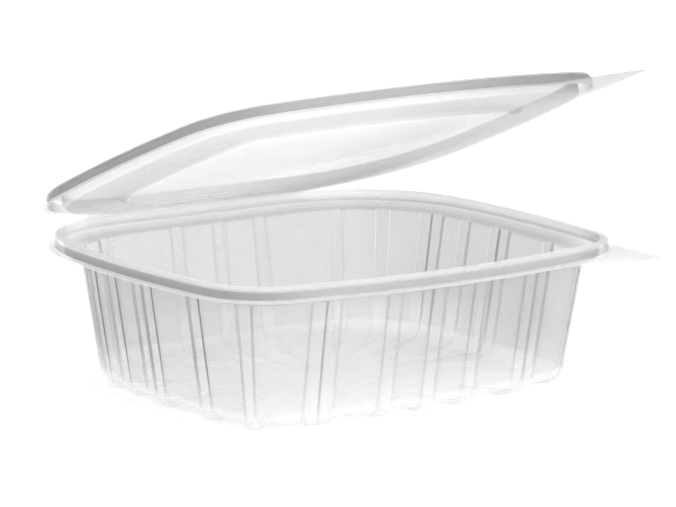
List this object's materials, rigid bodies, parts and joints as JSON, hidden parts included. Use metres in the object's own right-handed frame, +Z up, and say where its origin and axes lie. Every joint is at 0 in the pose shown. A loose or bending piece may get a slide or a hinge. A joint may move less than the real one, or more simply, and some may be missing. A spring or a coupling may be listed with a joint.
{
  "type": "hinged takeaway meal container",
  "caption": "Empty clear plastic food container: a ribbed tray with bowed sides and a shallow lid joined to it along the back edge, part open.",
  "frame": {"origin": "under the middle of the whole container with its lid part open, at the height of the surface it stands on", "axes": "+X along the long side to the lifting tab's end, +Y to the back where the hinge is, +Z up"},
  "size_m": [0.1848, 0.1718, 0.1174],
  "materials": {
    "tray_plastic": "clear thin plastic, glossy",
    "lid_plastic": "clear thin plastic, glossy"
  },
  "bodies": {
    "tray": {"tray": "tray_plastic"},
    "lid": {"lid": "lid_plastic"}
  },
  "joints": [
    {"name": "lid_hinge", "type": "hinge", "parent": "tray", "child": "lid", "pos_m": [0, 0.08585, 0.04958], "axis": [-1, 0, 0], "range_deg": [-22.4, 157.6]}
  ]
}
